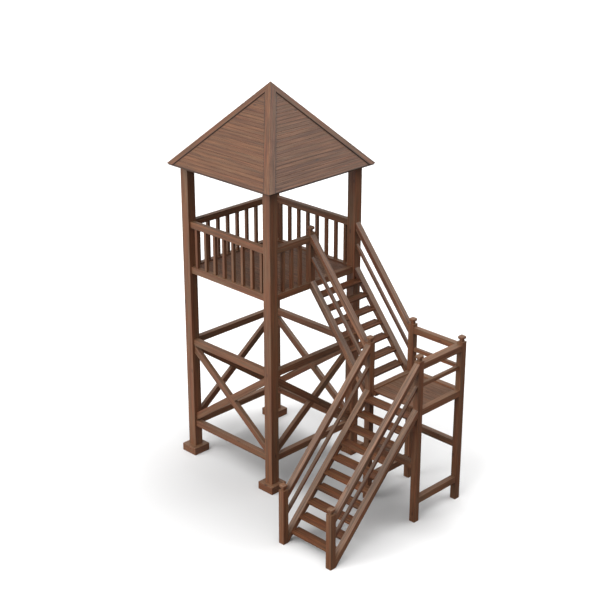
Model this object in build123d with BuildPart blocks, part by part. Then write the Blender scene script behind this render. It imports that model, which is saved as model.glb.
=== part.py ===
from build123d import *
from math import acos, atan2, degrees, hypot, sqrt
import os

# Timber watchtower: a square tower on four posts with a railed platform under a pyramid roof,
# reached by two open flights of steps that turn at a square landing on four newel posts.
# All sizes are in millimetres. Heights are above the ground, plan places are from the tower's centre line.

# Tower posts and footings
tower_width = 2410        # outer face to outer face of the posts
post_size = 190
footing_size = 380
footing_height = 155

# Beams between the posts
beam_thickness = 110
beam_depth = 130
lower_ring_top = 715
middle_ring_top = 2491
platform_beam_top = 4012

# Braces
brace_width = 134
brace_thickness = 80
brace_lap_clearance = 0.5

# Railings
rail_thickness = 105
rail_depth = 125
guard_height = 914        # top of the platform's rails above its edge beams
landing_guard_height = 904
baluster_size = 60
balusters_per_side = 8
entry_balusters = 3
middle_rail_thickness = 68
middle_rail_depth = 70
middle_rail_drop = 424    # top of the middle rail below the top of the rail above it
far_rail_inset = 26       # centre lines of the landing's far rails inside those of its newels
far_rail_thickness = rail_thickness + 2 * far_rail_inset

# Decks
deck_recess = 28          # deck surface below the tops of the edge beams
board_thickness = 35
board_gap = 3
platform_boards = 14
landing_boards = 8
joist_thickness = 60
joist_depth = 65
platform_joists = 5
landing_joists = 3

# Roof
roof_overhang = 155       # eave beyond the outer face of the posts
eave_height = 6046        # upper edge of the eave
roof_rise = 1527
panel_drop = 25           # height of the panel's upright edge at the eave
plate_lift = 90           # underside of the wall plates above the eave
rafter_thickness = 60
rafter_depth = 110
king_size = 120
king_height = 460
hip_board_reach = 150     # width of a hip board measured along the eave
hip_board_rise = 30       # upright thickness of a hip board
hip_board_tail = 20       # how far the hip boards run past the eave
hip_joint = 1.0           # saw gap between hip boards at the top

# Newel posts and their finials
newel_size = 125
newel_above_rail = 54
entry_newel_above_rail = 61
neck_size = 64
neck_height = 48
finial_size = 118
finial_height = 62
finial_round = 21

# Landing
landing_length = 1166     # between the newels' centre lines, away from the tower
landing_front_y = -78     # centre line of the front newels
landing_beam_top = 2297
leg_low_top = 491
leg_middle_top = 1223

# Flights
stringer_thickness = 125
stringer_depth = 100      # square to the slope
tread_thickness = 38
upper_tread_depth = 214
lower_tread_depth = 225
housing_depth = 20
housing_clearance = 0.5
handrail_thickness = 121
handrail_depth = 96       # square to the slope
sloped_rail_thickness = 62
sloped_rail_depth = 50
upper_treads = 7
upper_going = 184
upper_head_reach = 178    # front edge of the highest tread beyond the outer face of the posts
upper_foot_reach = 156    # centre line of the landing's newels beyond the front edge of the lowest tread
upper_last_rise = 244     # from the highest tread to the tops of the platform's edge beams
upper_first_rise = 111    # from the tops of the landing's edge beams to the lowest tread
upper_handrail_height = 917  # top of the handrail above the line of the tread fronts, measured upright
upper_sloped_rail_height = 480
lower_treads = 10
lower_going = 212
lower_head_reach = 199    # front edge of the highest tread in front of the landing's front newels
lower_foot_reach = 120    # centre line of the bottom newels in front of the lowest tread
lower_first_rise = 203    # from the ground to the lowest tread
lower_handrail_height = 909
lower_sloped_rail_height = 473
lower_newel_above_rail = 37

# Derived places
half_tower = tower_width / 2
post_line = half_tower - post_size / 2
bay = tower_width - 2 * post_size
roof_half = half_tower + roof_overhang
roof_slope = roof_rise / roof_half
entry_newel_y = landing_front_y
newel_half = newel_size / 2
platform_top = platform_beam_top - deck_recess
landing_top = landing_beam_top - deck_recess
platform_rail_top = platform_beam_top + guard_height
landing_rail_top = landing_beam_top + landing_guard_height

# Upper flight and landing in plan and height, out from the tower
upper_top_tread_x = half_tower + upper_head_reach
upper_top_tread_z = platform_beam_top - upper_last_rise
upper_rise = (upper_top_tread_z - landing_beam_top - upper_first_rise) / (upper_treads - 1)
landing_near_x = upper_top_tread_x + (upper_treads - 1) * upper_going + upper_foot_reach
landing_far_x = landing_near_x + landing_length
landing_back_y = post_line   # the back newels stand in line with the tower's back posts
landing_width = landing_back_y - landing_front_y

# Lower flight, its highest tread right under the landing's edge beam
lower_top_tread_y = landing_front_y - lower_head_reach
lower_top_tread_z = landing_beam_top - beam_depth
lower_rise = (lower_top_tread_z - lower_first_rise) / (lower_treads - 1)
lower_newel_y = lower_top_tread_y - (lower_treads - 1) * lower_going - lower_foot_reach

# The origin is the middle of the footprint, so the tower stands to one side of it
roof_reach = roof_half + hip_board_tail
tower_x = (roof_reach - (landing_far_x + newel_half)) / 2
tower_y = -(roof_reach + (lower_newel_y - newel_half)) / 2

os.makedirs("parts", exist_ok=True)


def write(part, name):
    part.label = name
    export_step(part, f"parts/{name}.step")


def level(z, x=0, y=0):
    # Horizontal plane at height z, with its origin x and y away from the tower's centre line.
    return Plane(origin=(tower_x + x, tower_y + y, z))


def facing_front(y):
    # Upright plane across the front-to-back direction: local x is X, local y is the height.
    return Plane(origin=(tower_x, tower_y + y, 0), x_dir=(1, 0, 0), z_dir=(0, -1, 0))


def facing_right(x):
    # Upright plane across the left-to-right direction: local x is Y, local y is the height.
    return Plane(origin=(tower_x + x, tower_y, 0), x_dir=(0, 1, 0), z_dir=(1, 0, 0))


# Footing blocks under the four posts
corners = [(-post_line, -post_line), (post_line, -post_line), (post_line, post_line), (-post_line, post_line)]
with BuildPart() as footings:
    with BuildSketch(level(0)):
        with Locations(*corners):
            Rectangle(footing_size, footing_size)
    extrude(amount=footing_height)
write(footings.part, "footing_blocks")

# Room under the roof panels, down to the ground: what stands in it is cut to the roof's slope
with BuildPart() as roof_room:
    for plane in (facing_front(0), facing_right(0)):
        with BuildSketch(plane):
            Polygon(
                (-roof_half, 0),
                (roof_half, 0),
                (roof_half, eave_height - panel_drop),
                (0, eave_height - panel_drop + roof_rise),
                (-roof_half, eave_height - panel_drop),
                align=None,
            )
        extrude(amount=roof_half, both=True, mode=Mode.ADD if plane.z_dir.Y else Mode.INTERSECT)

# Posts, cut at the top to the underside of the roof
post_names = ("post_front_left", "post_front_right", "post_back_right", "post_back_left")
for name, (x, y) in zip(post_names, corners):
    with BuildPart() as post:
        with BuildSketch(level(footing_height, x, y)):
            Rectangle(post_size, post_size)
        extrude(amount=eave_height + roof_rise)
        add(roof_room.part, mode=Mode.INTERSECT)
    write(post.part, name)


def ring_of_beams(top, depth, thickness):
    # Four beams between the posts, on their centre lines.
    with BuildPart() as ring:
        with BuildSketch(level(top - depth)):
            with Locations((0, -post_line), (0, post_line)):
                Rectangle(bay, thickness)
            with Locations((-post_line, 0), (post_line, 0)):
                Rectangle(thickness, bay)
        extrude(amount=depth)
    return ring.part


write(ring_of_beams(lower_ring_top, beam_depth, beam_thickness), "lower_ring_beams")
write(ring_of_beams(middle_ring_top, beam_depth, beam_thickness), "middle_ring_beams")
write(ring_of_beams(platform_beam_top, beam_depth, beam_thickness), "platform_edge_beams")

# Wall plates at the heads of the posts, their tops cut to the roof's slope
with BuildPart() as plates:
    add(ring_of_beams(eave_height + roof_rise, roof_rise - plate_lift, beam_thickness))
    add(roof_room.part, mode=Mode.INTERSECT)
write(plates.part, "wall_plates")

# Crossed braces on each face, halved into each other where they cross. Both ends are cut to the posts,
# and one edge of each brace runs into the corner between a post and a beam.
panel_bottom = lower_ring_top
panel_top = middle_ring_top - beam_depth
panel_height = panel_top - panel_bottom
brace_run = hypot(bay, panel_height)
brace_angle = degrees(acos(brace_width / brace_run) - atan2(bay, panel_height))
brace_middle = (panel_top + panel_bottom) / 2


def front_brace(lean, lap_side):
    # The brace on the front face, cut to the bay and notched on its outer or inner side.
    face = facing_front(-post_line)
    lap_depth = (brace_thickness + brace_lap_clearance) / 2
    with BuildPart() as brace:
        with BuildSketch(face):
            with Locations((0, brace_middle)):
                Rectangle(bay, 2 * panel_height)
            with Locations(Location((0, brace_middle), lean * brace_angle)):
                Rectangle(2 * brace_run, brace_width, mode=Mode.INTERSECT)
        extrude(amount=brace_thickness / 2, both=True)
        with BuildSketch(face.offset(lap_side * (brace_thickness - lap_depth) / 2)):
            with Locations(Location((0, brace_middle), -lean * brace_angle)):
                Rectangle(brace_run, brace_width + brace_lap_clearance)
        extrude(amount=lap_depth / 2, both=True, mode=Mode.SUBTRACT)
    return brace.part


def brace_set(lean, lap_side):
    # One brace on each face, all leaning the same way as seen from outside.
    brace = front_brace(lean, lap_side)
    centre = Axis((tower_x, tower_y, 0), (0, 0, 1))
    with BuildPart() as braces:
        for turn in range(4):
            add(brace.rotate(centre, 90 * turn))
    return braces.part


write(brace_set(1, 1), "braces_rising")
write(brace_set(-1, -1), "braces_falling")


def post_columns():
    # The tower's posts as plain columns, for the boards and joists that are notched round them.
    with BuildPart() as columns:
        with BuildSketch(level(0)):
            with Locations(*corners):
                Rectangle(post_size, post_size)
        extrude(amount=eave_height)
    return columns.part


newel_places = {
    "landing_newel_inner_front": (landing_near_x, landing_front_y),
    "landing_newel_outer_front": (landing_far_x, landing_front_y),
    "landing_newel_outer_back": (landing_far_x, landing_back_y),
    "landing_newel_inner_back": (landing_near_x, landing_back_y),
}


def rounded_block(x, y, bottom):
    # The block on a newel, rounded on all its edges.
    with BuildPart() as block:
        with BuildSketch(level(bottom, x, y)):
            Rectangle(finial_size, finial_size)
        extrude(amount=finial_height)
        fillet(block.edges(), finial_round)
    return block.part


def newel(x, y, bottom, top):
    # A square newel post with a small rounded block on a neck.
    block = rounded_block(x, y, top + neck_height)
    with BuildPart() as post:
        with BuildSketch(level(bottom, x, y)):
            Rectangle(newel_size, newel_size)
        extrude(amount=top - bottom)
        with BuildSketch(level(top, x, y)):
            Rectangle(neck_size, neck_size)
        extrude(amount=neck_height)
        add(block)
    return post.part


def columns_at(places):
    with BuildPart() as columns:
        for x, y in places:
            with BuildSketch(level(0, x, y)):
                Rectangle(newel_size, newel_size)
            extrude(amount=eave_height)
    return columns.part


# Decks: boards laid side by side inside the edge beams, on joists, notched round the posts
def boards(centre, size, count, surface, around):
    # The boards run along X.
    x, y = centre
    width = (size[1] - (count - 1) * board_gap) / count
    with BuildPart() as deck:
        with BuildSketch(level(surface - board_thickness, x, y)):
            with GridLocations(0, width + board_gap, 1, count):
                Rectangle(size[0], width)
        extrude(amount=board_thickness)
        add(around, mode=Mode.SUBTRACT)
    return deck.part


def joists(centre, size, count, surface, around):
    # The joists run along Y, and the outer ones lie against the edge beams.
    x, y = centre
    spacing = (size[0] - joist_thickness) / (count - 1)
    with BuildPart() as frame:
        with BuildSketch(level(surface - board_thickness - joist_depth, x, y)):
            with GridLocations(spacing, 0, count, 1):
                Rectangle(joist_thickness, size[1])
        extrude(amount=joist_depth)
        add(around, mode=Mode.SUBTRACT)
    return frame.part


platform_inner = 2 * post_line - beam_thickness
platform_size = (platform_inner, platform_inner)
posts_round = post_columns()
write(boards((0, 0), platform_size, platform_boards, platform_top, posts_round), "platform_deck")
write(joists((0, 0), platform_size, platform_joists, platform_top, posts_round), "platform_joists")

# Railings of the platform: three full sides and a short one beside the entry
entry_rail_length = entry_newel_y - newel_half + half_tower - post_size
entry_rail_middle = (entry_newel_y - newel_half - half_tower + post_size) / 2
with BuildPart() as platform_rails:
    with BuildSketch(level(platform_rail_top - rail_depth)):
        with Locations((0, -post_line), (0, post_line)):
            Rectangle(bay, rail_thickness)
        with Locations((-post_line, 0)):
            Rectangle(rail_thickness, bay)
        with Locations((post_line, entry_rail_middle)):
            Rectangle(rail_thickness, entry_rail_length)
    extrude(amount=rail_depth)
write(platform_rails.part, "platform_top_rails")


def balusters(x, y, step, count):
    # A row of square balusters from the edge beam up to the rail, centred on x and y.
    with BuildPart() as row:
        with BuildSketch(level(platform_beam_top, x, y)):
            with GridLocations(*step, *count):
                Rectangle(baluster_size, baluster_size)
        extrude(amount=guard_height - rail_depth)
    return row.part


baluster_step = bay / balusters_per_side
entry_step = entry_rail_length / (entry_balusters + 1)
across = ((baluster_step, 0), (balusters_per_side, 1))
along = ((0, baluster_step), (1, balusters_per_side))
write(balusters(0, -post_line, *across), "balusters_front")
write(balusters(0, post_line, *across), "balusters_back")
write(balusters(-post_line, 0, *along), "balusters_left")
write(balusters(post_line, entry_rail_middle, (0, entry_step), (1, entry_balusters)), "balusters_entry")
entry_newel_top = platform_rail_top + entry_newel_above_rail
write(newel(post_line, entry_newel_y, platform_beam_top, entry_newel_top), "entry_newel")

# Roof: four boarded panels that meet at the hips
slope_height = hypot(roof_half, roof_rise)


def roof_side(turn, outline, rise, square_cut=None):
    # A flat piece on one side of the roof. The outline's local x runs along the eave and its local y
    # up the slope, and the piece is as high as the rise, measured upright, above or below the outline.
    # A square cut takes off what lies below that local y, square to the slope.
    centre = Axis((tower_x, tower_y, 0), (0, 0, 1))
    eave = Plane(
        origin=(tower_x, tower_y - roof_half, eave_height),
        x_dir=(1, 0, 0),
        z_dir=(0, -roof_rise, roof_half),
    )
    with BuildPart() as piece:
        with BuildSketch(eave):
            Polygon(*outline, align=None)
        extrude(amount=abs(rise), dir=(0, 0, 1 if rise > 0 else -1))
        if square_cut is not None:
            with BuildSketch(eave):
                with Locations((0, square_cut - roof_half)):
                    Rectangle(4 * roof_half, 2 * roof_half)
            extrude(amount=2 * hip_board_rise, both=True, mode=Mode.SUBTRACT)
    return piece.part.rotate(centre, 90 * turn)


panel_outline = [(-roof_half, 0), (roof_half, 0), (0, slope_height)]
for turn, side in enumerate(("front", "right", "back", "left")):
    write(roof_side(turn, panel_outline, -panel_drop), f"roof_panel_{side}")

# Hip boards: one on each panel along each hip, mitred over the hip and at the top. Their tails run
# past the eave and are cut square to the slope.
hip_reach_up = hip_board_reach * slope_height / roof_half
tail_drop = hip_board_tail * slope_height / roof_half
tail_cut = hip_board_rise * roof_rise / slope_height - tail_drop
left_hip_outline = [
    (-roof_half - hip_board_tail, -tail_drop),
    (-roof_half - hip_board_tail + hip_board_reach, -tail_drop),
    (-hip_joint, slope_height - hip_reach_up - hip_joint),
    (-hip_joint, slope_height - hip_joint * slope_height / roof_half),
]
right_hip_outline = [(-x, y) for x, y in reversed(left_hip_outline)]
for side, outline in (("left", left_hip_outline), ("right", right_hip_outline)):
    with BuildPart() as hip_boards:
        for turn in range(4):
            add(roof_side(turn, outline, hip_board_rise, tail_cut))
    write(hip_boards.part, f"hip_boards_{side}")

# King block and hip rafters under the panels
with BuildPart() as king:
    with BuildSketch(level(eave_height + roof_rise - king_height)):
        Rectangle(king_size, king_size)
    extrude(amount=king_height)
    add(roof_room.part, mode=Mode.INTERSECT)
write(king.part, "king_block")

hip_slope = roof_slope / sqrt(2)
rafter_foot = (post_line - post_size / 2) * sqrt(2)
rafter_head = king_size / 2 * sqrt(2)
underside_peak = eave_height - panel_drop + roof_rise
with BuildPart() as rafters:
    for turn in range(4):
        diagonal = Plane(
            origin=(tower_x, tower_y, 0),
            x_dir=Vector(1, 1, 0).rotate(Axis.Z, 90 * turn),
            z_dir=Vector(1, -1, 0).rotate(Axis.Z, 90 * turn),
        )
        with BuildSketch(diagonal):
            Polygon(
                (rafter_foot, underside_peak - rafter_foot * hip_slope - rafter_depth),
                (rafter_foot, underside_peak - rafter_foot * hip_slope),
                (rafter_head, underside_peak - rafter_head * hip_slope),
                (rafter_head, underside_peak - rafter_head * hip_slope - rafter_depth),
                align=None,
            )
        extrude(amount=rafter_thickness / 2, both=True)
    add(roof_room.part, mode=Mode.INTERSECT)
    add(king.part, mode=Mode.SUBTRACT)
    add(posts_round, mode=Mode.SUBTRACT)
write(rafters.part, "hip_rafters")

# Landing
for name, (x, y) in newel_places.items():
    write(newel(x, y, 0, landing_rail_top + newel_above_rail), name)

landing_centre = ((landing_near_x + landing_far_x) / 2, (landing_front_y + landing_back_y) / 2)


def landing_bars(top, depth, thickness, sides, far_inset=0):
    # Bars between the landing's newels, on their centre lines, on the named sides.
    middle_x, middle_y = landing_centre
    places = {
        "front": (middle_x, landing_front_y, landing_length - newel_size, thickness),
        "back": (middle_x, landing_back_y, landing_length - newel_size, thickness),
        "near": (landing_near_x, middle_y, thickness, landing_width - newel_size),
        "far": (landing_far_x - far_inset, middle_y, thickness, landing_width - newel_size),
    }
    with BuildPart() as bars:
        for x, y, length_x, length_y in (places[side] for side in sides):
            with BuildSketch(level(top - depth, x, y)):
                Rectangle(length_x, length_y)
            extrude(amount=depth)
    return bars.part


# The front is left open, with no beam, where the lower flight arrives.
edge_sides = ("back", "near", "far")
write(landing_bars(landing_beam_top, beam_depth, beam_thickness, edge_sides), "landing_edge_beams")
write(landing_bars(leg_low_top, beam_depth, beam_thickness, ("near", "far")), "landing_low_beams")
write(landing_bars(leg_middle_top, beam_depth, beam_thickness, ("front", "back")), "landing_middle_beams")
with BuildPart() as landing_top_rails:
    add(landing_bars(landing_rail_top, rail_depth, rail_thickness, ("back",)))
    add(landing_bars(landing_rail_top, rail_depth, far_rail_thickness, ("far",), far_rail_inset))
write(landing_top_rails.part, "landing_top_rails")
middle_rail_top = landing_rail_top - middle_rail_drop
middle_rail_size = (middle_rail_depth, middle_rail_thickness)
write(
    landing_bars(middle_rail_top, *middle_rail_size, ("back", "far"), far_rail_inset),
    "landing_middle_rails",
)

landing_size = (landing_length - beam_thickness, landing_width - beam_thickness)
newels_round = columns_at(newel_places.values())
write(boards(landing_centre, landing_size, landing_boards, landing_top, newels_round), "landing_deck")
write(joists(landing_centre, landing_size, landing_joists, landing_top, newels_round), "landing_joists")


def sloped_bar(plane, start, end, top_at_start, slope, depth, thickness):
    # A bar between two upright cuts; its top edge starts at top_at_start and rises by slope.
    upright = depth * hypot(1, slope)
    top_at_end = top_at_start + (end - start) * slope
    with BuildPart() as bar:
        with BuildSketch(plane):
            Polygon(
                (start, top_at_start - upright),
                (end, top_at_end - upright),
                (end, top_at_end),
                (start, top_at_start),
                align=None,
            )
        extrude(amount=thickness / 2, both=True)
    return bar.part


# Upper flight, from the landing to the platform
flight_lines_upper = (landing_front_y, landing_back_y)
clear_upper = landing_width - stringer_thickness
upper_slope = -upper_rise / upper_going
upper_foot = landing_near_x - newel_half


def upper_line(x):
    # Height of the line of the tread fronts.
    return upper_top_tread_z + (x - upper_top_tread_x) * upper_slope


def upper_tread_boxes(spare):
    # The treads, or with some spare all round, the housings that they sit in.
    with BuildPart() as treads:
        for step in range(upper_treads):
            middle = upper_top_tread_x + step * upper_going - upper_tread_depth / 2
            top = upper_top_tread_z - step * upper_rise
            with BuildSketch(level(top - tread_thickness - spare, middle, landing_centre[1])):
                Rectangle(upper_tread_depth + 2 * spare, clear_upper + 2 * (housing_depth + spare))
            extrude(amount=tread_thickness + 2 * spare)
        add(posts_round, mode=Mode.SUBTRACT)
    return treads.part


upper_head = post_line + beam_thickness / 2
with BuildPart() as upper_stringers:
    for y in flight_lines_upper:
        add(
            sloped_bar(
                facing_front(y),
                upper_head,
                upper_foot,
                upper_line(upper_head),
                upper_slope,
                stringer_depth,
                stringer_thickness,
            )
        )
    add(posts_round, mode=Mode.SUBTRACT)
    add(newel(post_line, entry_newel_y, platform_beam_top, platform_rail_top), mode=Mode.SUBTRACT)
    add(upper_tread_boxes(housing_clearance), mode=Mode.SUBTRACT)
write(upper_stringers.part, "upper_stringers")
write(upper_tread_boxes(0), "upper_treads")

for name, height, depth, thickness in (
    ("upper_handrails", upper_handrail_height, handrail_depth, handrail_thickness),
    ("upper_middle_rails", upper_sloped_rail_height, sloped_rail_depth, sloped_rail_thickness),
):
    with BuildPart() as bars:
        for y, head in ((landing_front_y, post_line + newel_half), (landing_back_y, half_tower)):
            top = upper_line(head) + height
            add(sloped_bar(facing_front(y), head, upper_foot, top, upper_slope, depth, thickness))
    write(bars.part, name)

# Lower flight, from the ground to the landing
clear_lower = landing_length - stringer_thickness
lower_slope = lower_rise / lower_going
lower_foot = lower_newel_y + newel_half
lower_head = landing_front_y - newel_half


def lower_line(y):
    return lower_top_tread_z + (y - lower_top_tread_y) * lower_slope


def lower_tread_boxes(spare):
    with BuildPart() as treads:
        for step in range(lower_treads):
            middle = lower_top_tread_y - step * lower_going + lower_tread_depth / 2
            top = lower_top_tread_z - step * lower_rise
            with BuildSketch(level(top - tread_thickness - spare, landing_centre[0], middle)):
                Rectangle(clear_lower + 2 * (housing_depth + spare), lower_tread_depth + 2 * spare)
            extrude(amount=tread_thickness + 2 * spare)
        add(newels_round, mode=Mode.SUBTRACT)
    return treads.part


with BuildPart() as lower_stringers:
    for x in (landing_near_x, landing_far_x):
        add(
            sloped_bar(
                facing_right(x),
                lower_foot,
                lower_head,
                lower_line(lower_foot),
                lower_slope,
                stringer_depth,
                stringer_thickness,
            )
        )
    with BuildSketch(level(0, landing_centre[0], lower_foot)):
        Rectangle(2 * landing_length, 2 * landing_width)
    extrude(amount=-2 * stringer_depth, mode=Mode.SUBTRACT)
    add(lower_tread_boxes(housing_clearance), mode=Mode.SUBTRACT)
write(lower_stringers.part, "lower_stringers")
write(lower_tread_boxes(0), "lower_treads")

for name, height, depth, thickness in (
    ("lower_handrails", lower_handrail_height, handrail_depth, handrail_thickness),
    ("lower_middle_rails", lower_sloped_rail_height, sloped_rail_depth, sloped_rail_thickness),
):
    with BuildPart() as bars:
        for x in (landing_near_x, landing_far_x):
            top = lower_line(lower_foot) + height
            add(sloped_bar(facing_right(x), lower_foot, lower_head, top, lower_slope, depth, thickness))
    write(bars.part, name)

lower_newel_top = lower_line(lower_foot) + lower_handrail_height + lower_newel_above_rail
for name, x in (("lower_newel_left", landing_near_x), ("lower_newel_right", landing_far_x)):
    write(newel(x, lower_newel_y, 0, lower_newel_top), name)
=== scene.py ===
"""Timber watchtower: the finish of its stained timbers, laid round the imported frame."""

import math
import random

import bmesh
import bpy
from bpy.props import FloatProperty, FloatVectorProperty, IntProperty, PointerProperty
from bpy.types import Operator, Panel, PropertyGroup
from mathutils import Matrix, Vector


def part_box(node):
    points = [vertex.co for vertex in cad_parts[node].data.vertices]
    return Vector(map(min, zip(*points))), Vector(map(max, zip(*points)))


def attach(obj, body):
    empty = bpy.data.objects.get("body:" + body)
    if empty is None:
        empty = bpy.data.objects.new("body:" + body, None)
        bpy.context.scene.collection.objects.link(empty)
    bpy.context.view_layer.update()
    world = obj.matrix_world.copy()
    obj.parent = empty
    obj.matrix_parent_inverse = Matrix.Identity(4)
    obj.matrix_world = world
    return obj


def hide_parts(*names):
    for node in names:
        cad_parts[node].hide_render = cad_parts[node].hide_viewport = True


bl_info = {
    "name": "Timber Watchtower",
    "version": (1, 0, 0),
    "blender": (4, 5, 0),
    "location": "View3D > Sidebar > Watchtower",
    "description": "Dresses a watchtower: eased timbers, boarded roof, grain along each piece",
    "category": "Object",
}

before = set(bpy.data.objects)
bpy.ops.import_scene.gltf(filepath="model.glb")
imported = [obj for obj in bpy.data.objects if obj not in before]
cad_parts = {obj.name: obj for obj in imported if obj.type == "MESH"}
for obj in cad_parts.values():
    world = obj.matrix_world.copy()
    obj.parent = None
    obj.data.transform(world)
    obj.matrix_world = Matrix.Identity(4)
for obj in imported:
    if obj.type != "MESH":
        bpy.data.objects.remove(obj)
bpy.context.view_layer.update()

# Points closer than the merge distance merge, and faces that meet flatter than the flat angle
# become one. Edges sharper than the arris angle are eased, and past the smooth angle an edge shows.
MERGE_DISTANCE = 0.00002
FLAT_ANGLE = math.radians(0.5)
ARRIS_ANGLE = math.radians(25)
SMOOTH_ANGLE = math.radians(50)
# An edge is eased where it runs along its timber, by this cosine, and is longer than so many
# arrises.
ALONG_TIMBER = 0.995
LEAST_ARRISES = 8

# About how far from the pith boards and timbers are sawn, and the length of the log that they come
# from, in metres, and how much their tones differ
BOARD_PITH = 0.09
TIMBER_PITH = 0.03
LOG_LENGTH = 40
TONE_SPREAD = 0.045
ROOF_TONE_SPREAD = 0.03

# Narrowest joint between two roof boards, as a share of the widest
NARROWEST_JOINT = 0.1

# Finish and slot of the posts, beams and other plain timbers
PLAIN_TIMBER = ("larch_planed_stained", "frame_timber")

# The camera's place and the way it looks, how far it sees, and the floor and the lamps, in metres,
# with the sensor's width in millimetres
CAMERA_PLACE = (16.7613, -16.819, 13.5609)
CAMERA_AIM = (-0.65265, 0.65513, -0.38059)
SENSOR_WIDTH = 36
VIEW_END = 500
FLOOR_WIDTH = 400
LAMP_DISTANCE = 12


def linear(code):
    """The linear colour of an sRGB hex code."""
    channels = [int(code[i : i + 2], 16) / 255 for i in (1, 3, 5)]
    return [c / 12.92 if c <= 0.04045 else ((c + 0.055) / 1.055) ** 2.4 for c in channels]


def colour(name, description, code):
    return FloatVectorProperty(
        name=name,
        description=description,
        subtype="COLOR",
        size=3,
        min=0,
        max=1,
        default=linear(code),
    )


def length(name, description, metres):
    return FloatProperty(
        name=name, description=description, unit="LENGTH", min=0, default=metres
    )


def strength(name, description, amount):
    return FloatProperty(name=name, description=description, min=0, default=amount)


class WatchtowerTimber(PropertyGroup):
    """Sizes of the eased edges and of the roof's boards."""

    post_arris: length("Post arris", "Width of the eased edges of posts and their blocks", 0.009)
    beam_arris: length("Beam arris", "Width of the eased edges of beams and braces", 0.006)
    board_arris: length("Board arris", "Width of the eased edges of boards and treads", 0.003)
    slim_arris: length("Slim arris", "Width of the eased edges of balusters and slim rails", 0.003)
    roof_arris: length("Roof arris", "Half the width of the V between two roof boards", 0.002)
    roof_joint: length("Roof joint", "Widest open joint between two roof boards", 0.003)
    hip_reach: length("Hip board reach", "Width of a hip board along the eave", 0.15)
    roof_courses: IntProperty(
        name="Roof courses", description="Boards from the eave to the peak", min=2, default=30
    )


class WatchtowerStain(PropertyGroup):
    """Colours of the stained wood."""

    heart: colour("Heartwood", "Main colour of the stained larch", "#6E4830")
    late: colour("Late wood", "Darker lines of the year rings", "#603923")
    ruddy: colour("Ruddy", "Patches where the wood took more stain", "#72442D")
    # Real grey patches, and also the grey of the painted sheen on faces that look up
    weathered_and_sheen: colour("Weathered", "Patches that have begun to turn grey", "#68503C")
    knot: colour("Knot", "Knots and resin spots", "#382014")


class WatchtowerStage(PropertyGroup):
    """Light and camera."""

    key_strength: strength("Key", "Strength of the soft light from the front", 2.8)
    sky_strength: strength("Sky", "Strength of the wide light from above", 2.62)
    back_strength: strength("Back", "Strength of the weak light from behind", 0.7)
    side_strength: strength("Side", "Strength of the weak light from the right", 0.38)
    sheen_strength: strength("Sheen", "White seen in the gloss of the stain", 0.62)
    lens: FloatProperty(
        name="Lens", description="Focal length", subtype="DISTANCE_CAMERA", default=83.354
    )


# Materials


def add(tree, kind, inputs=None, **settings):
    """Adds one node with its settings, and its inputs set to values or linked to sockets. Where a
    node is given for an input, its first output is linked."""
    node = tree.nodes.new(kind)
    for name, value in settings.items():
        setattr(node, name, value)
    for name, value in (inputs or {}).items():
        if isinstance(value, bpy.types.Node):
            value = value.outputs[0]
        if isinstance(value, bpy.types.NodeSocket):
            tree.links.new(value, node.inputs[name])
        else:
            node.inputs[name].default_value = value
    return node


def blank_material(name):
    """A new material with no nodes."""
    material = bpy.data.materials.new(name)
    material.use_nodes = True
    material.node_tree.nodes.clear()
    return material


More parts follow.
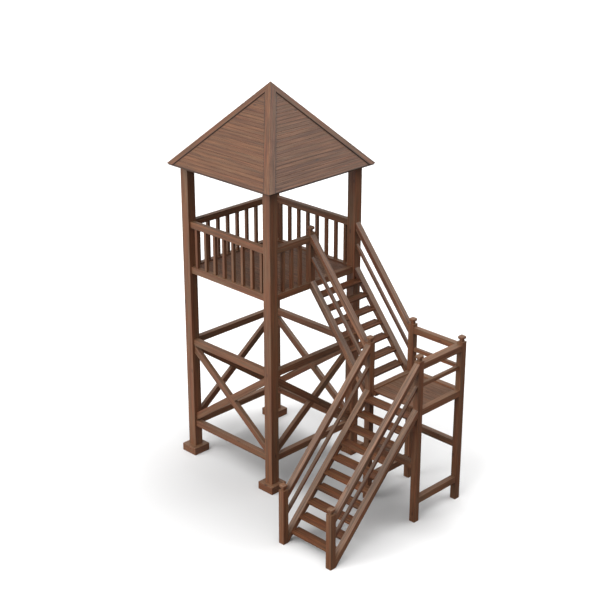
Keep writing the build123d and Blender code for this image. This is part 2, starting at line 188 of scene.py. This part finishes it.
def larch(
    name,
    tint=(1, 1, 1),
    streak_length=1.0,
    contrast=1.0,
    drift=0.8,
    greying_and_sheen=0.5,
    roughness=0.5,
    painted_shade="",
):
    """Larch with a brown stain: straight pale and dark lines of the year rings along each timber,
    finer fibres between them, hues that drift from ruddy to grey, a grey cast on faces that look
    up, partly weathering and partly a painted sheen, and a few small knots. Painted shade is
    "hips" for a dark line along the hip boards, or "eaves" for that line and another along the
    eaves.
    It reads the grain attribute: x runs along the timber, y and z across it from the pith."""
    stain = bpy.context.scene.watchtower_stain
    tree = blank_material(name).node_tree
    grain = add(tree, "ShaderNodeAttribute", attribute_name="grain").outputs["Vector"]
    tone = add(tree, "ShaderNodeAttribute", attribute_name="tone").outputs["Fac"]

    # The grain wanders by a few millimetres over half a metre of length, at most by the farthest.
    farthest = 0.018
    slow = add(tree, "ShaderNodeMapping", {"Vector": grain, "Scale": (1.6, 5, 5)})
    wander = add(tree, "ShaderNodeTexNoise", {"Vector": slow, "Scale": 1.0, "Detail": 2.0})
    bent = add(
        tree,
        "ShaderNodeVectorMath",
        {0: wander.outputs["Color"], 1: (0, farthest, farthest), 2: grain},
        operation="MULTIPLY_ADD",
    )

    # Each layer as cycles a metre along the timber and across it. Real fibres are under a
    # millimetre wide and year rings 3 mm: the finest layer is drawn 9 mm wide, and the rings in
    # bundles of 20 to 40 mm.
    layers = {}
    for layer, along, across, detail in (
        ("fibres", 3.0 / streak_length, 55, 3.0),
        ("rings", 0.9 / streak_length, 26, 3.5),
        ("hues", 1.1 / streak_length, 21, 3.0),
        ("patches", 1.3, 5.5, 2.0),
    ):
        stretched = add(
            tree, "ShaderNodeMapping", {"Vector": bent, "Scale": (along, across, across)}
        )
        layers[layer] = add(
            tree,
            "ShaderNodeTexNoise",
            {"Vector": stretched, "Scale": 1.0, "Detail": detail, "Roughness": 0.6},
        )

    # Knots with a dark core 20 mm wide and three times as long, at most one in 0.7 m by 0.2 m
    spread = add(tree, "ShaderNodeMapping", {"Vector": grain, "Scale": (1.5, 4.5, 4.5)})
    cells = add(tree, "ShaderNodeTexVoronoi", {"Vector": spread, "Scale": 1.0})

    # How far a face looks up. Faces that look up are painted greyer: partly the stain turned grey
    # by rain and sun, partly a painted sheen.
    facing = add(tree, "ShaderNodeNewGeometry").outputs["True Normal"]
    upward = add(
        tree, "ShaderNodeVectorMath", {0: facing, 1: (0, 0, 1)}, operation="DOT_PRODUCT"
    )

    # Late wood, ruddy and grey hues, patches, greying with painted sheen and knots laid over the
    # heartwood one after the other, each from none of it at one value of its field to the most of
    # it at another
    wood = (*stain.heart, 1)
    for field, none, most, shade, amount in (
        (layers["rings"], 0.45, 0.66, stain.late, 0.75 * contrast),
        (layers["hues"], 0.5, 0.66, stain.ruddy, drift),
        (layers["hues"], 0.5, 0.34, stain.weathered_and_sheen, drift),
        (layers["patches"], 0.5, 0.7, stain.ruddy, drift / 2),
        (layers["patches"], 0.5, 0.3, stain.weathered_and_sheen, drift / 2),
        # Faces that look up painted greyer: partly weathering, partly a painted sheen
        (upward.outputs["Value"], 0.2, 0.75, stain.weathered_and_sheen, greying_and_sheen),
        (cells.outputs["Distance"], 0.1, 0.045, stain.knot, 0.8),
    ):
        mask = add(
            tree,
            "ShaderNodeMapRange",
            {"Value": field, "From Min": none, "From Max": most, "To Max": min(amount, 1)},
            interpolation_type="SMOOTHSTEP",
        )
        wood = add(
            tree, "ShaderNodeMix", {0: mask, 6: wood, 7: (*shade, 1)}, data_type="RGBA"
        ).outputs[2]

    # Pale and dark streaks, and the painted shade on the roof
    lightness = tone
    if painted_shade:
        painted_shade_lines = roof_painted_shade(tree, painted_shade == "eaves")
        lightness = add(tree, "ShaderNodeMath", {0: tone, 1: painted_shade_lines}, operation="MULTIPLY")
    # The noise lies mostly between these two values.
    low, high = 0.3, 0.7
    depth = 0.2 * contrast
    for field in (layers["fibres"], layers["rings"]):
        streak = add(
            tree,
            "ShaderNodeMapRange",
            {
                "Value": field,
                "From Min": low,
                "From Max": high,
                "To Min": 1 + depth,
                "To Max": 1 - depth,
            },
        )
        lightness = add(tree, "ShaderNodeMath", {0: lightness, 1: streak}, operation="MULTIPLY")
    shaded = add(tree, "ShaderNodeVectorMath", {0: wood, "Scale": lightness}, operation="SCALE")
    tinted = add(tree, "ShaderNodeVectorMath", {0: shaded, 1: tint}, operation="MULTIPLY")

    # The dark lines lie a little lower than the rest, and the dark fibres are a little duller.
    ring_relief, groove_depth = -1.5, 0.0015
    shinier, duller = roughness - 0.06, roughness + 0.08
    relief = add(
        tree,
        "ShaderNodeMath",
        {0: layers["rings"], 1: ring_relief, 2: layers["fibres"]},
        operation="MULTIPLY_ADD",
    )
    bump = add(
        tree, "ShaderNodeBump", {"Strength": 0.3, "Distance": groove_depth, "Height": relief}
    )
    gloss = add(
        tree,
        "ShaderNodeMapRange",
        {
            "Value": layers["fibres"],
            "From Min": low,
            "From Max": high,
            "To Min": shinier,
            "To Max": duller,
        },
    )
    surface = add(
        tree,
        "ShaderNodeBsdfPrincipled",
        {"Base Color": tinted, "Roughness": gloss, "IOR": 1.5, "Normal": bump},
    )
    add(tree, "ShaderNodeOutputMaterial", {"Surface": surface})


def roof_plan():
    """The middle of the square roof in plan, and half its width at the eaves."""
    low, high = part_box("roof_panel_front")
    half = (high[0] - low[0]) / 2
    return Vector(((low[0] + high[0]) / 2, low[1] + half, 0)), half


def roof_painted_shade(tree, eaves):
    """Painted shade: a dark line down the sawn edges of the hip boards, where the ends of the roof
    boards meet them and shade falls in the joint, and if asked for, a line along the shaded edge
    of the eaves."""
    middle, half = roof_plan()
    hip_reach = bpy.context.scene.watchtower_timber.hip_reach
    place = add(tree, "ShaderNodeTexCoord").outputs["Object"]
    offset = add(tree, "ShaderNodeVectorMath", {0: place, 1: middle}, operation="SUBTRACT")
    plan = add(tree, "ShaderNodeVectorMath", {0: offset}, operation="ABSOLUTE")

    # The tones of the painted shade, and how far it lies from the joint beside the hip board and
    # from the edge of the eaves: full up to the first distance, and gone at the second
    line_tone, line_full, line_gone = 0.35, 0.003, 0.012
    rim_tone, rim_full, rim_gone = 0.4, 0.004, 0.014

    # Distance from the joint beside the hip board, measured along the eave
    across = add(tree, "ShaderNodeVectorMath", {0: plan, 1: (1, -1, 0)}, operation="DOT_PRODUCT")
    from_hip = add(tree, "ShaderNodeMath", {0: across.outputs["Value"]}, operation="ABSOLUTE")
    past = add(tree, "ShaderNodeMath", {0: from_hip, 1: hip_reach}, operation="SUBTRACT")
    beside = add(tree, "ShaderNodeMath", {0: past}, operation="ABSOLUTE")
    line = add(
        tree,
        "ShaderNodeMapRange",
        {
            "Value": beside,
            "From Min": line_full,
            "From Max": line_gone,
            "To Min": line_tone,
            "To Max": 1.0,
        },
    )
    if not eaves:
        return line

    # Distance from the roof's middle, towards the nearest eave
    parts = add(tree, "ShaderNodeSeparateXYZ", {0: plan})
    outward = add(
        tree, "ShaderNodeMath", {0: parts.outputs[0], 1: parts.outputs[1]}, operation="MAXIMUM"
    )
    rim = add(
        tree,
        "ShaderNodeMapRange",
        {
            "Value": outward,
            "From Min": half - rim_gone,
            "From Max": half - rim_full,
            "To Min": 1.0,
            "To Max": rim_tone,
        },
    )
    return add(tree, "ShaderNodeMath", {0: line, 1: rim}, operation="MULTIPLY")


def white_paper():
    """Matt white paper, white far out, with a painted shadow that only the camera sees: a little
    grey round the foot of the tower and darker under its decks and flights. It throws light back
    from the front left, and little from the rest."""
    material = blank_material("white_paper_floor")
    tree = material.node_tree
    place = add(tree, "ShaderNodeTexCoord").outputs["Object"]

    # The light that the paper throws back grows from the middle to five metres front left of it.
    forward = add(
        tree, "ShaderNodeVectorMath", {0: place, 1: (-0.707, -0.707, 0)}, operation="DOT_PRODUCT"
    )
    shade = add(
        tree,
        "ShaderNodeMapRange",
        {
            "Value": forward.outputs["Value"],
            "From Min": 0.0,
            "From Max": 5.0,
            "To Min": 0.09,
            "To Max": 0.52,
        },
    )
    bounced = add(tree, "ShaderNodeBsdfDiffuse", {"Color": shade})

    # To the eye the paper carries a painted shadow: a little greyer in front of the tower, and
    # whiter away from it.
    away = add(
        tree, "ShaderNodeVectorMath", {0: place, 1: (-0.2, -0.5, 0)}, operation="DISTANCE"
    )
    painted_shadow_wide = add(
        tree,
        "ShaderNodeMapRange",
        {
            "Value": away.outputs["Value"],
            "From Min": 0.5,
            "From Max": 5.0,
            "To Min": 0.64,
            "To Max": 0.98,
        },
        interpolation_type="SMOOTHSTEP",
    )

    # Under the decks and the flights, where little of the sky would reach it, the painted shadow is
    # darker still. They stand in a row along x, so that way counts for less.
    flattened = add(tree, "ShaderNodeVectorMath", {0: place, 1: (0.3, 1, 1)}, operation="MULTIPLY")
    under = add(
        tree, "ShaderNodeVectorMath", {0: flattened, 1: (0, 0.5, 0)}, operation="DISTANCE"
    )
    painted_shadow_core = add(
        tree,
        "ShaderNodeMapRange",
        {
            "Value": under.outputs["Value"],
            "From Min": 0.45,
            "From Max": 1.15,
            "To Min": 0.6,
            "To Max": 1.0,
        },
        interpolation_type="SMOOTHSTEP",
    )
    # Both parts of the painted shadow together
    grey = add(tree, "ShaderNodeMath", {0: painted_shadow_wide, 1: painted_shadow_core}, operation="MULTIPLY")
    seen = add(tree, "ShaderNodeBsdfDiffuse", {"Color": grey})

    rays = add(tree, "ShaderNodeLightPath")
    mixed = add(
        tree, "ShaderNodeMixShader", {0: rays.outputs["Is Camera Ray"], 1: bounced, 2: seen}
    )
    add(tree, "ShaderNodeOutputMaterial", {"Surface": mixed})
    return material


# Modelling


def take(piece):
    """Makes one object the only selected one, and active."""
    bpy.ops.object.select_all(action="DESELECT")
    piece.select_set(True)
    bpy.context.view_layer.objects.active = piece


def copy_of(source, name):
    """An object of its own with a copy of another's mesh."""
    piece = bpy.data.objects.new(name, source.data.copy())
    bpy.context.scene.collection.objects.link(piece)
    return piece


def merged_copy(node, name):
    """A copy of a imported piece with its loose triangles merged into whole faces."""
    piece = copy_of(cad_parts[node], name)
    piece.data.materials.clear()
    take(piece)
    bpy.ops.object.mode_set(mode="EDIT")
    bpy.ops.mesh.select_all(action="SELECT")
    bpy.ops.mesh.customdata_custom_splitnormals_clear()
    bpy.ops.mesh.remove_doubles(threshold=MERGE_DISTANCE)
    bpy.ops.mesh.dissolve_limited(angle_limit=FLAT_ANGLE)
    bpy.ops.object.mode_set(mode="OBJECT")
    return piece


def timbers_in(shape):
    """The separate timbers of a bmesh, each as its vertices and the way its longest edge runs."""
    left = set(shape.verts)
    timbers = []
    for start in shape.verts:
        if start not in left:
            continue
        left.discard(start)
        found, queue = [], [start]
        while queue:
            vert = queue.pop()
            found.append(vert)
            for edge in vert.link_edges:
                other = edge.other_vert(vert)
                if other in left:
                    left.discard(other)
                    queue.append(other)
        edges = {edge for vert in found for edge in vert.link_edges}
        longest = max(edges, key=lambda edge: edge.calc_length())
        run = (longest.verts[1].co - longest.verts[0].co).normalized()
        timbers.append((found, run if max(run, key=abs) > 0 else -run))
    return timbers


def ease(piece, arris, every_edge=False):
    """Bevels the outer edges that run along each timber, or all of its outer edges."""
    if not arris:
        return
    take(piece)
    bpy.ops.object.mode_set(mode="EDIT")
    bpy.ops.mesh.select_mode(type="EDGE")
    bpy.ops.mesh.select_all(action="DESELECT")
    shape = bmesh.from_edit_mesh(piece.data)
    for verts, run in timbers_in(shape):
        for edge in {edge for vert in verts for edge in vert.link_edges}:
            if len(edge.link_faces) != 2 or not edge.is_convex:
                continue
            if edge.calc_face_angle() < ARRIS_ANGLE:
                continue
            way = (edge.verts[1].co - edge.verts[0].co).normalized()
            lengthwise = abs(way.dot(run)) > ALONG_TIMBER
            if every_edge or (lengthwise and edge.calc_length() > LEAST_ARRISES * arris):
                edge.select_set(True)
    bmesh.update_edit_mesh(piece.data)
    bpy.ops.mesh.bevel(
        offset=arris, offset_type="OFFSET", segments=2, profile=0.5, clamp_overlap=True
    )
    bpy.ops.object.mode_set(mode="OBJECT")


def lay_grain(piece, boards=False, spread=TONE_SPREAD):
    """Gives each timber its own run of grain, its own place in the log and its own tone."""
    chance = random.Random(piece.name)
    shape = bmesh.new()
    shape.from_mesh(piece.data)
    grain = shape.verts.layers.float_vector.new("grain")
    tone = shape.verts.layers.float.new("tone")
    reach = BOARD_PITH if boards else TIMBER_PITH
    for verts, run in timbers_in(shape):
        # A way that the timber doesn't run in, to find its sides from
        aside = Vector((0, 0, 1)) if abs(run.z) < 0.9 else Vector((1, 0, 0))
        side = run.cross(aside).normalized()
        rise = run.cross(side)
        middle = sum((vert.co for vert in verts), Vector()) / len(verts)
        pith = Vector(
            (
                chance.uniform(0, LOG_LENGTH),
                chance.uniform(-reach, reach),
                chance.uniform(0.5, 1.5) * reach,
            )
        )
        shade = chance.gauss(1, spread)
        for vert in verts:
            place = vert.co - middle
            vert[grain] = pith + Vector((place.dot(run), place.dot(side), place.dot(rise)))
            vert[tone] = shade
    shape.to_mesh(piece.data)
    shape.free()


def hand_over(piece, node, finish):
    """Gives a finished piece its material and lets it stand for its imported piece."""
    take(piece)
    bpy.ops.object.shade_smooth_by_angle(angle=SMOOTH_ANGLE)
    bpy.ops.object.modifier_add(type="WEIGHTED_NORMAL")
    piece.modifiers[0].keep_sharp = True
    bpy.ops.object.modifier_apply(modifier=piece.modifiers[0].name)
    piece.data.materials.append(bpy.data.materials[finish])
    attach(piece, "root")
    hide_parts(node)


def dress(nodes, arris, finish, slot, boards=False, every_edge=False):
    """Eased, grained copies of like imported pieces."""
    for node in nodes:
        piece = merged_copy(node, "dressed_" + node)
        ease(piece, arris, every_edge)
        lay_grain(piece, boards)
        hand_over(piece, node, finish)


def nodes_named(start):
    """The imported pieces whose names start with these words."""
    return [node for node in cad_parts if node.startswith(start)]


class WATCHTOWER_OT_materials(Operator):
    """Makes the stained larch finishes"""

    bl_idname = "watchtower.materials"
    bl_label = "Materials"

    def execute(self, context):
        # Planed and brush stained: smooth brown sides with long, soft lines of the year rings
        larch("larch_planed_stained", tint=(1.05, 1.04, 1.0), streak_length=1.5)
        # Treads, planed and trodden: dark, ruddy and dull, with short, strong streaks
        larch(
            "larch_tread_trodden",
            tint=(0.68, 0.55, 0.34),
            contrast=2.2,
            greying_and_sheen=0,
            roughness=0.6,
        )
        # Deck boards, planed and trodden less: a darker brown with a little grey, partly a painted
        # sheen, and clear streaks
        larch(
            "larch_deck_trodden",
            tint=(0.79, 0.72, 0.65),
            contrast=1.6,
            greying_and_sheen=0.4,
            roughness=0.55,
        )
        # Stringers, planed and bleached by the sun: pale, greyed top edges, partly a painted sheen,
        # with strong long streaks
        larch(
            "larch_stringer_bleached",
            tint=(1.12, 1.12, 1.14),
            streak_length=1.5,
            contrast=2.2,
            greying_and_sheen=0.75,
        )
        # Handrails and the rails under them, planed and handled: greyed tops, partly a painted
        # sheen, but a shade darker
        larch(
            "larch_handrail_handled",
            tint=(0.97, 0.94, 0.97),
            streak_length=1.5,
            contrast=2.2,
            greying_and_sheen=0.75,
        )
        # Roof boards, sawn and stained: an even brown with clear streaks, and painted shade beside
        # the hip boards and along the eaves
        larch(
            "larch_roof_sawn",
            tint=(0.78, 0.76, 0.67),
            streak_length=1.5,
            contrast=1.5,
            drift=0.4,
            greying_and_sheen=0,
            painted_shade="eaves",
        )
        # Hip boards, sawn and stained: more mottled than the roof boards, with painted shade on
        # their edges
        larch(
            "larch_hip_sawn",
            tint=(0.73, 0.67, 0.55),
            contrast=1.8,
            greying_and_sheen=0,
            painted_shade="hips",
        )
        return {"FINISHED"}


class WATCHTOWER_OT_frame_timbers(Operator):
    """Dresses the posts, their blocks, the beams between them and the crossed braces"""

    bl_idname = "watchtower.frame_timbers"
    bl_label = "Frame timbers"

    def execute(self, context):
        timber = context.scene.watchtower_timber
        dress(["footing_blocks"], timber.post_arris, *PLAIN_TIMBER, every_edge=True)
        dress(nodes_named("post_"), timber.post_arris, *PLAIN_TIMBER)
        rings = ["lower_ring_beams", "middle_ring_beams", "platform_edge_beams", "wall_plates"]
        dress(rings + ["braces_rising", "braces_falling"], timber.beam_arris, *PLAIN_TIMBER)
        return {"FINISHED"}


class WATCHTOWER_OT_decks(Operator):
    """Dresses the boards and joists of the platform and the landing"""

    bl_idname = "watchtower.decks"
    bl_label = "Decks"

    def execute(self, context):
        timber = context.scene.watchtower_timber
        finish = ("larch_deck_trodden", "walking_boards")
        dress(["platform_deck", "landing_deck"], timber.board_arris, *finish, boards=True)
        dress(["platform_joists", "landing_joists"], timber.board_arris, *PLAIN_TIMBER)
        return {"FINISHED"}


class WATCHTOWER_OT_railings(Operator):
    """Dresses the platform's rails, its balusters and the newel at the entry"""

    bl_idname = "watchtower.railings"
    bl_label = "Railings"

    def execute(self, context):
        timber = context.scene.watchtower_timber
        dress(["platform_top_rails"], timber.beam_arris, *PLAIN_TIMBER)
        dress(nodes_named("balusters_"), timber.slim_arris, *PLAIN_TIMBER)
        dress(["entry_newel"], timber.beam_arris, *PLAIN_TIMBER)
        return {"FINISHED"}


class WATCHTOWER_OT_roof(Operator):
    """Boards the four sides of the roof, and dresses the hip boards, rafters and king block"""

    bl_idname = "watchtower.roof"
    bl_label = "Roof"

    def execute(self, context):
        timber = context.scene.watchtower_timber
        low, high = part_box("roof_panel_front")
        middle, _ = roof_plan()
        peak = Vector((middle.x, middle.y, high[2]))
        eave = Vector((middle.x, low[1], low[2]))
        up_slope = (peak - eave).normalized()
        course = (peak - eave).length / timber.roof_courses
        sheet = merged_copy("roof_panel_front", "roof_sheet")
        boards = []
        chance = random.Random("roof joints")
        joints = [
            timber.roof_joint * chance.uniform(NARROWEST_JOINT, 1)
            for line in range(timber.roof_courses + 1)
        ]
        # Each board is the whole sheet, cut off along the line below it and the line above it.
        for number in range(timber.roof_courses):
            board = copy_of(sheet, "roof_board")
            take(board)
            bpy.ops.object.mode_set(mode="EDIT")
            for line, way in ((number, 1), (number + 1, -1)):
                if not 0 < line < timber.roof_courses:
                    continue
                edge = eave + up_slope * (course * line + way * joints[line] / 2)
                bpy.ops.mesh.select_all(action="SELECT")
                bpy.ops.mesh.bisect(
                    plane_co=edge,
                    plane_no=up_slope * way,
                    use_fill=True,
                    clear_inner=True,
                    clear_outer=False,
                )
            bpy.ops.object.mode_set(mode="OBJECT")
            ease(board, timber.roof_arris)
            boards.append(board)
        bpy.data.objects.remove(sheet)
        take(boards[0])
        for board in boards:
            board.select_set(True)
        bpy.ops.object.join()
        front = boards[0]
        centre = Matrix.Translation(middle)
        for turn, side in enumerate(("front", "right", "back", "left")):
            piece = copy_of(front, "roof_boards_" + side)
            quarter = Matrix.Rotation(math.radians(90 * turn), 4, "Z")
            piece.data.transform(centre @ quarter @ centre.inverted())
            lay_grain(piece, boards=True, spread=ROOF_TONE_SPREAD)
            hand_over(piece, "roof_panel_" + side, "larch_roof_sawn")
        bpy.data.objects.remove(front)
        finish = ("larch_hip_sawn", "hip_timber")
        dress(["hip_boards_left", "hip_boards_right"], timber.board_arris, *finish, boards=True)
        dress(["hip_rafters", "king_block"], timber.beam_arris, *PLAIN_TIMBER)
        return {"FINISHED"}


class WATCHTOWER_OT_landing(Operator):
    """Dresses the landing's newels, beams and rails"""

    bl_idname = "watchtower.landing"
    bl_label = "Landing"

    def execute(self, context):
        timber = context.scene.watchtower_timber
        dress(nodes_named("landing_newel_"), timber.beam_arris, *PLAIN_TIMBER)
        beams = ["landing_edge_beams", "landing_low_beams", "landing_middle_beams"]
        dress(beams + ["landing_top_rails"], timber.beam_arris, *PLAIN_TIMBER)
        dress(["landing_middle_rails"], timber.slim_arris, *PLAIN_TIMBER)
        return {"FINISHED"}


class WATCHTOWER_OT_flights(Operator):
    """Dresses the stringers, treads, handrails and bottom newels of both flights"""

    bl_idname = "watchtower.flights"
    bl_label = "Flights"

    def execute(self, context):
        timber = context.scene.watchtower_timber
        dress(["lower_newel_left", "lower_newel_right"], timber.beam_arris, *PLAIN_TIMBER)
        finish = ("larch_stringer_bleached", "frame_timber")
        dress(["upper_stringers", "lower_stringers"], timber.beam_arris, *finish)
        finish = ("larch_handrail_handled", "frame_timber")
        dress(["upper_handrails", "lower_handrails"], timber.beam_arris, *finish)
        dress(["upper_middle_rails", "lower_middle_rails"], timber.slim_arris, *finish)
        finish = ("larch_tread_trodden", "walking_boards")
        dress(["upper_treads", "lower_treads"], timber.board_arris, *finish, boards=True)
        return {"FINISHED"}


class WATCHTOWER_OT_stage(Operator):
    """Adds the pale floor, the soft light and the camera"""

    bl_idname = "watchtower.stage"
    bl_label = "Stage"

    def execute(self, context):
        scene = context.scene
        stage = scene.watchtower_stage
        scene.view_settings.view_transform = "Standard"

        bpy.ops.mesh.primitive_plane_add(size=FLOOR_WIDTH, location=(0, 0, 0))
        floor = context.object
        floor.name = "floor"
        floor.data.materials.append(white_paper())

        # White behind the object, and a paler sheen of it in the gloss of the stain
        world = scene.world or bpy.data.worlds.new("studio")
        scene.world = world
        world.use_nodes = True
        tree = world.node_tree
        tree.nodes.clear()
        rays = add(tree, "ShaderNodeLightPath").outputs
        shown = add(
            tree,
            "ShaderNodeMath",
            {0: rays["Is Glossy Ray"], 1: stage.sheen_strength, 2: rays["Is Camera Ray"]},
            operation="MULTIPLY_ADD",
        )
        backdrop = add(
            tree, "ShaderNodeBackground", {"Color": (1, 1, 1, 1), "Strength": shown}
        )
        add(tree, "ShaderNodeOutputWorld", {"Surface": backdrop})

        # Each lamp's spread in degrees, and the way from the tower to it
        for name, energy, spread, towards in (
            ("key", stage.key_strength, 60, (-0.1, -0.85, 0.52)),
            ("sky", stage.sky_strength, 90, (0, 0, 1)),
            ("back", stage.back_strength, 40, (0.45, 0.65, 0.61)),
            ("side", stage.side_strength, 60, (0.9, -0.2, 0.35)),
        ):
            place = [LAMP_DISTANCE * step for step in towards]
            bpy.ops.object.light_add(type="SUN", location=place)
            lamp = context.object
            lamp.name = name
            lamp.data.energy = energy
            lamp.data.angle = math.radians(spread)
            lamp.rotation_mode = "QUATERNION"
            lamp.rotation_quaternion = Vector(towards).to_track_quat("Z", "Y")

        bpy.ops.object.camera_add(location=CAMERA_PLACE)
        camera = context.object
        camera.data.lens = stage.lens
        camera.data.sensor_width = SENSOR_WIDTH
        camera.data.clip_end = VIEW_END
        camera.rotation_mode = "QUATERNION"
        camera.rotation_quaternion = Vector(CAMERA_AIM).to_track_quat("-Z", "Y")
        scene.camera = camera
        return {"FINISHED"}


class WATCHTOWER_PT_panel(Panel):
    """Shows the watchtower's settings and a button for each step"""

    bl_label = "Watchtower"
    bl_idname = "WATCHTOWER_PT_panel"
    bl_space_type = "VIEW_3D"
    bl_region_type = "UI"
    bl_category = "Watchtower"

    def draw(self, context):
        for settings in (
            context.scene.watchtower_timber,
            context.scene.watchtower_stain,
            context.scene.watchtower_stage,
        ):
            box = self.layout.box()
            for name in settings.__annotations__:
                box.prop(settings, name)
        for operator in OPERATORS:
            self.layout.operator(operator.bl_idname)


SETTINGS = (WatchtowerTimber, WatchtowerStain, WatchtowerStage)
OPERATORS = (
    WATCHTOWER_OT_stage,
    WATCHTOWER_OT_materials,
    WATCHTOWER_OT_frame_timbers,
    WATCHTOWER_OT_decks,
    WATCHTOWER_OT_railings,
    WATCHTOWER_OT_roof,
    WATCHTOWER_OT_landing,
    WATCHTOWER_OT_flights,
)


def register():
    for kind in SETTINGS + OPERATORS + (WATCHTOWER_PT_panel,):
        bpy.utils.register_class(kind)
    bpy.types.Scene.watchtower_timber = PointerProperty(type=WatchtowerTimber)
    bpy.types.Scene.watchtower_stain = PointerProperty(type=WatchtowerStain)
    bpy.types.Scene.watchtower_stage = PointerProperty(type=WatchtowerStage)


def unregister():
    del bpy.types.Scene.watchtower_timber
    del bpy.types.Scene.watchtower_stain
    del bpy.types.Scene.watchtower_stage
    for kind in reversed(SETTINGS + OPERATORS + (WATCHTOWER_PT_panel,)):
        bpy.utils.unregister_class(kind)


def main():
    register()
    bpy.ops.watchtower.stage()
    bpy.ops.watchtower.materials()
    bpy.ops.watchtower.frame_timbers()
    bpy.ops.watchtower.decks()
    bpy.ops.watchtower.railings()
    bpy.ops.watchtower.roof()
    bpy.ops.watchtower.landing()
    bpy.ops.watchtower.flights()


if __name__ == "__main__":
    main()
